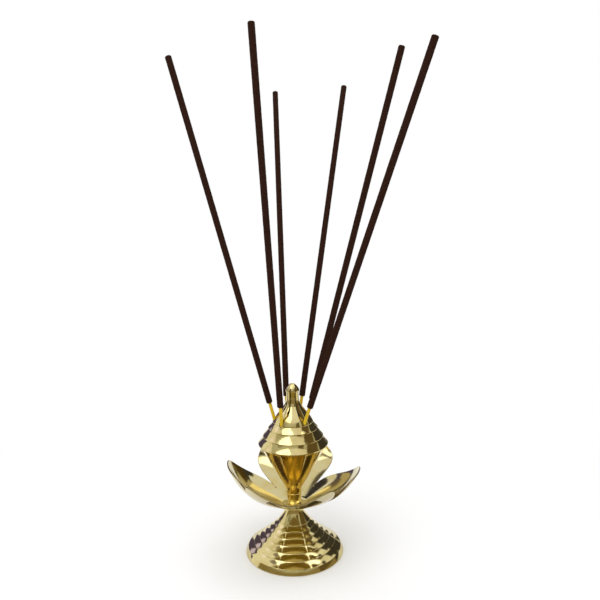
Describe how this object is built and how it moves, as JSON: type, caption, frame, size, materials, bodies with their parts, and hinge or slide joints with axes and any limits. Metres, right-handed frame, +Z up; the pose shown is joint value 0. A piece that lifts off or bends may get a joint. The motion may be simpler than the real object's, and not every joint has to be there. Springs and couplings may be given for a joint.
{
  "type": "incense stick holder",
  "caption": "Turned brass incense stand with a bell foot, a lotus petal dish and a funnel cup whose lift-off lid holds leaning incense sticks.",
  "frame": {"origin": "on the stand's axis, in the plane that the foot rests on", "axes": "+Z up along the axis of the turned pieces, -Y towards the front, +X to the right"},
  "size_m": [0.1293, 0.1224, 0.2734],
  "materials": {
    "pale_brass": "polished turned brass, pale",
    "gold_brass": "polished brass, deep gold",
    "steel": "plain steel",
    "bamboo": "yellow dyed bamboo",
    "incense_paste": "rough dark incense paste"
  },
  "bodies": {
    "stand": {"base": "pale_brass", "washer": "steel", "tie_screw": "steel", "lotus_plate": "pale_brass", "collar": "gold_brass", "cup": "gold_brass"},
    "lid": {"lid": "pale_brass", "finial": "pale_brass"},
    "stick_1": {"stick_1_core": "bamboo", "stick_1_paste": "incense_paste"},
    "stick_2": {"stick_2_core": "bamboo", "stick_2_paste": "incense_paste"},
    "stick_3": {"stick_3_core": "bamboo", "stick_3_paste": "incense_paste"},
    "stick_4": {"stick_4_core": "bamboo", "stick_4_paste": "incense_paste"},
    "stick_5": {"stick_5_core": "bamboo", "stick_5_paste": "incense_paste"},
    "stick_6": {"stick_6_core": "bamboo", "stick_6_paste": "incense_paste"}
  },
  "joints": [
    {"name": "lid_lift", "type": "slide", "parent": "stand", "child": "lid", "axis": [0, 0, 1], "range_m": [0, 0.03]},
    {"name": "stick_1_pull", "type": "slide", "parent": "lid", "child": "stick_1", "axis": [-0.2578, 0.0226, 0.9659], "range_m": [0, 0.03]},
    {"name": "stick_2_pull", "type": "slide", "parent": "lid", "child": "stick_2", "axis": [-0.0491, -0.1209, 0.9914], "range_m": [0, 0.03]},
    {"name": "stick_3_pull", "type": "slide", "parent": "lid", "child": "stick_3", "axis": [-0.0284, 0.3243, 0.9455], "range_m": [0, 0.03]},
    {"name": "stick_4_pull", "type": "slide", "parent": "lid", "child": "stick_4", "axis": [0.1495, 0.2742, 0.95], "range_m": [0, 0.03]},
    {"name": "stick_5_pull", "type": "slide", "parent": "lid", "child": "stick_5", "axis": [0.2434, -0.0716, 0.9673], "range_m": [0, 0.03]},
    {"name": "stick_6_pull", "type": "slide", "parent": "lid", "child": "stick_6", "axis": [0.2944, -0.1897, 0.9367], "range_m": [0, 0.03]}
  ]
}
